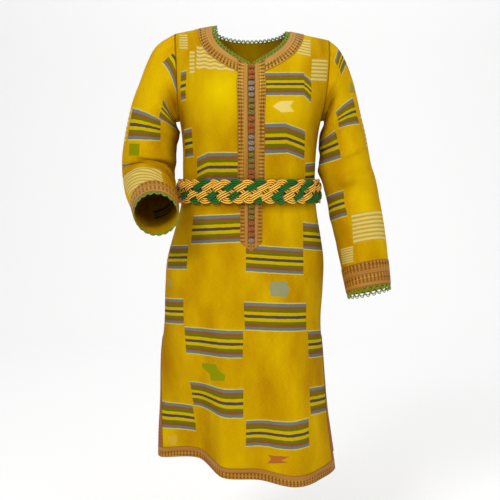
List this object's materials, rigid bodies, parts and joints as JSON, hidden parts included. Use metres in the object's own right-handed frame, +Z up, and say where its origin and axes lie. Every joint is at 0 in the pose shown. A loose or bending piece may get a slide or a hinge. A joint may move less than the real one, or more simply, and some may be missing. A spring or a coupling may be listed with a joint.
{
  "type": "kaftan",
  "caption": "Knee-length kaftan of strip-woven cloth, open at neck, cuffs and hem, with long sleeves, braid-edged front opening, knotted buttons, crochet edging and a plaited belt.",
  "frame": {"origin": "between the shoulder seams, on the centre line and at their height, where the shoulders hold the garment up", "axes": "+Z up, the front faces -Y, +X to the viewer's right when the front is seen"},
  "size_m": [0.6284, 0.3967, 1.0442],
  "materials": {
    "cloth": "matt woven cotton, golden yellow",
    "braid": "ribbed braid, tan and gold, slight sheen",
    "crochet": "twisted thread, green and olive gold",
    "plait": "satin cord, gold with dark green",
    "knots_orange": "knotted silk thread, burnt orange",
    "knots_grey": "knotted silk thread, warm grey",
    "knots_olive": "knotted silk thread, olive"
  },
  "bodies": {
    "root": {"front": "cloth", "back": "cloth", "sleeve_left": "cloth", "sleeve_right": "cloth", "neck_trim": "braid", "placket_left": "braid", "placket_right": "braid", "cuff_trim_left": "braid", "cuff_trim_right": "braid", "hem_trim_front": "braid", "hem_trim_back": "braid", "slit_trim_front_left": "braid", "slit_trim_front_right": "braid", "slit_trim_back_left": "braid", "slit_trim_back_right": "braid", "neck_lace_left": "crochet", "neck_lace_right": "crochet", "neck_lace_back": "crochet", "cuff_lace_left_outer": "crochet", "cuff_lace_left_inner": "crochet", "cuff_lace_right_outer": "crochet", "cuff_lace_right_inner": "crochet", "belt": "plait", "button_01": "knots_orange", "button_02": "knots_orange", "button_03": "knots_orange", "button_04": "knots_grey", "button_05": "knots_grey", "button_06": "knots_grey", "button_07": "knots_olive", "button_08": "knots_olive", "button_09": "knots_olive", "button_10": "knots_orange", "button_11": "knots_orange", "button_12": "knots_orange", "button_13": "knots_grey", "button_14": "knots_grey", "button_15": "knots_grey", "button_16": "knots_olive", "button_17": "knots_olive", "button_18": "knots_olive", "button_19": "knots_orange", "button_20": "knots_orange", "button_21": "knots_orange", "button_22": "knots_grey", "button_23": "knots_grey", "button_24": "knots_grey", "button_25": "knots_olive", "button_26": "knots_olive", "button_27": "knots_olive", "button_28": "knots_orange", "button_29": "knots_orange", "button_30": "knots_orange", "button_31": "knots_grey"}
  },
  "joints": []
}
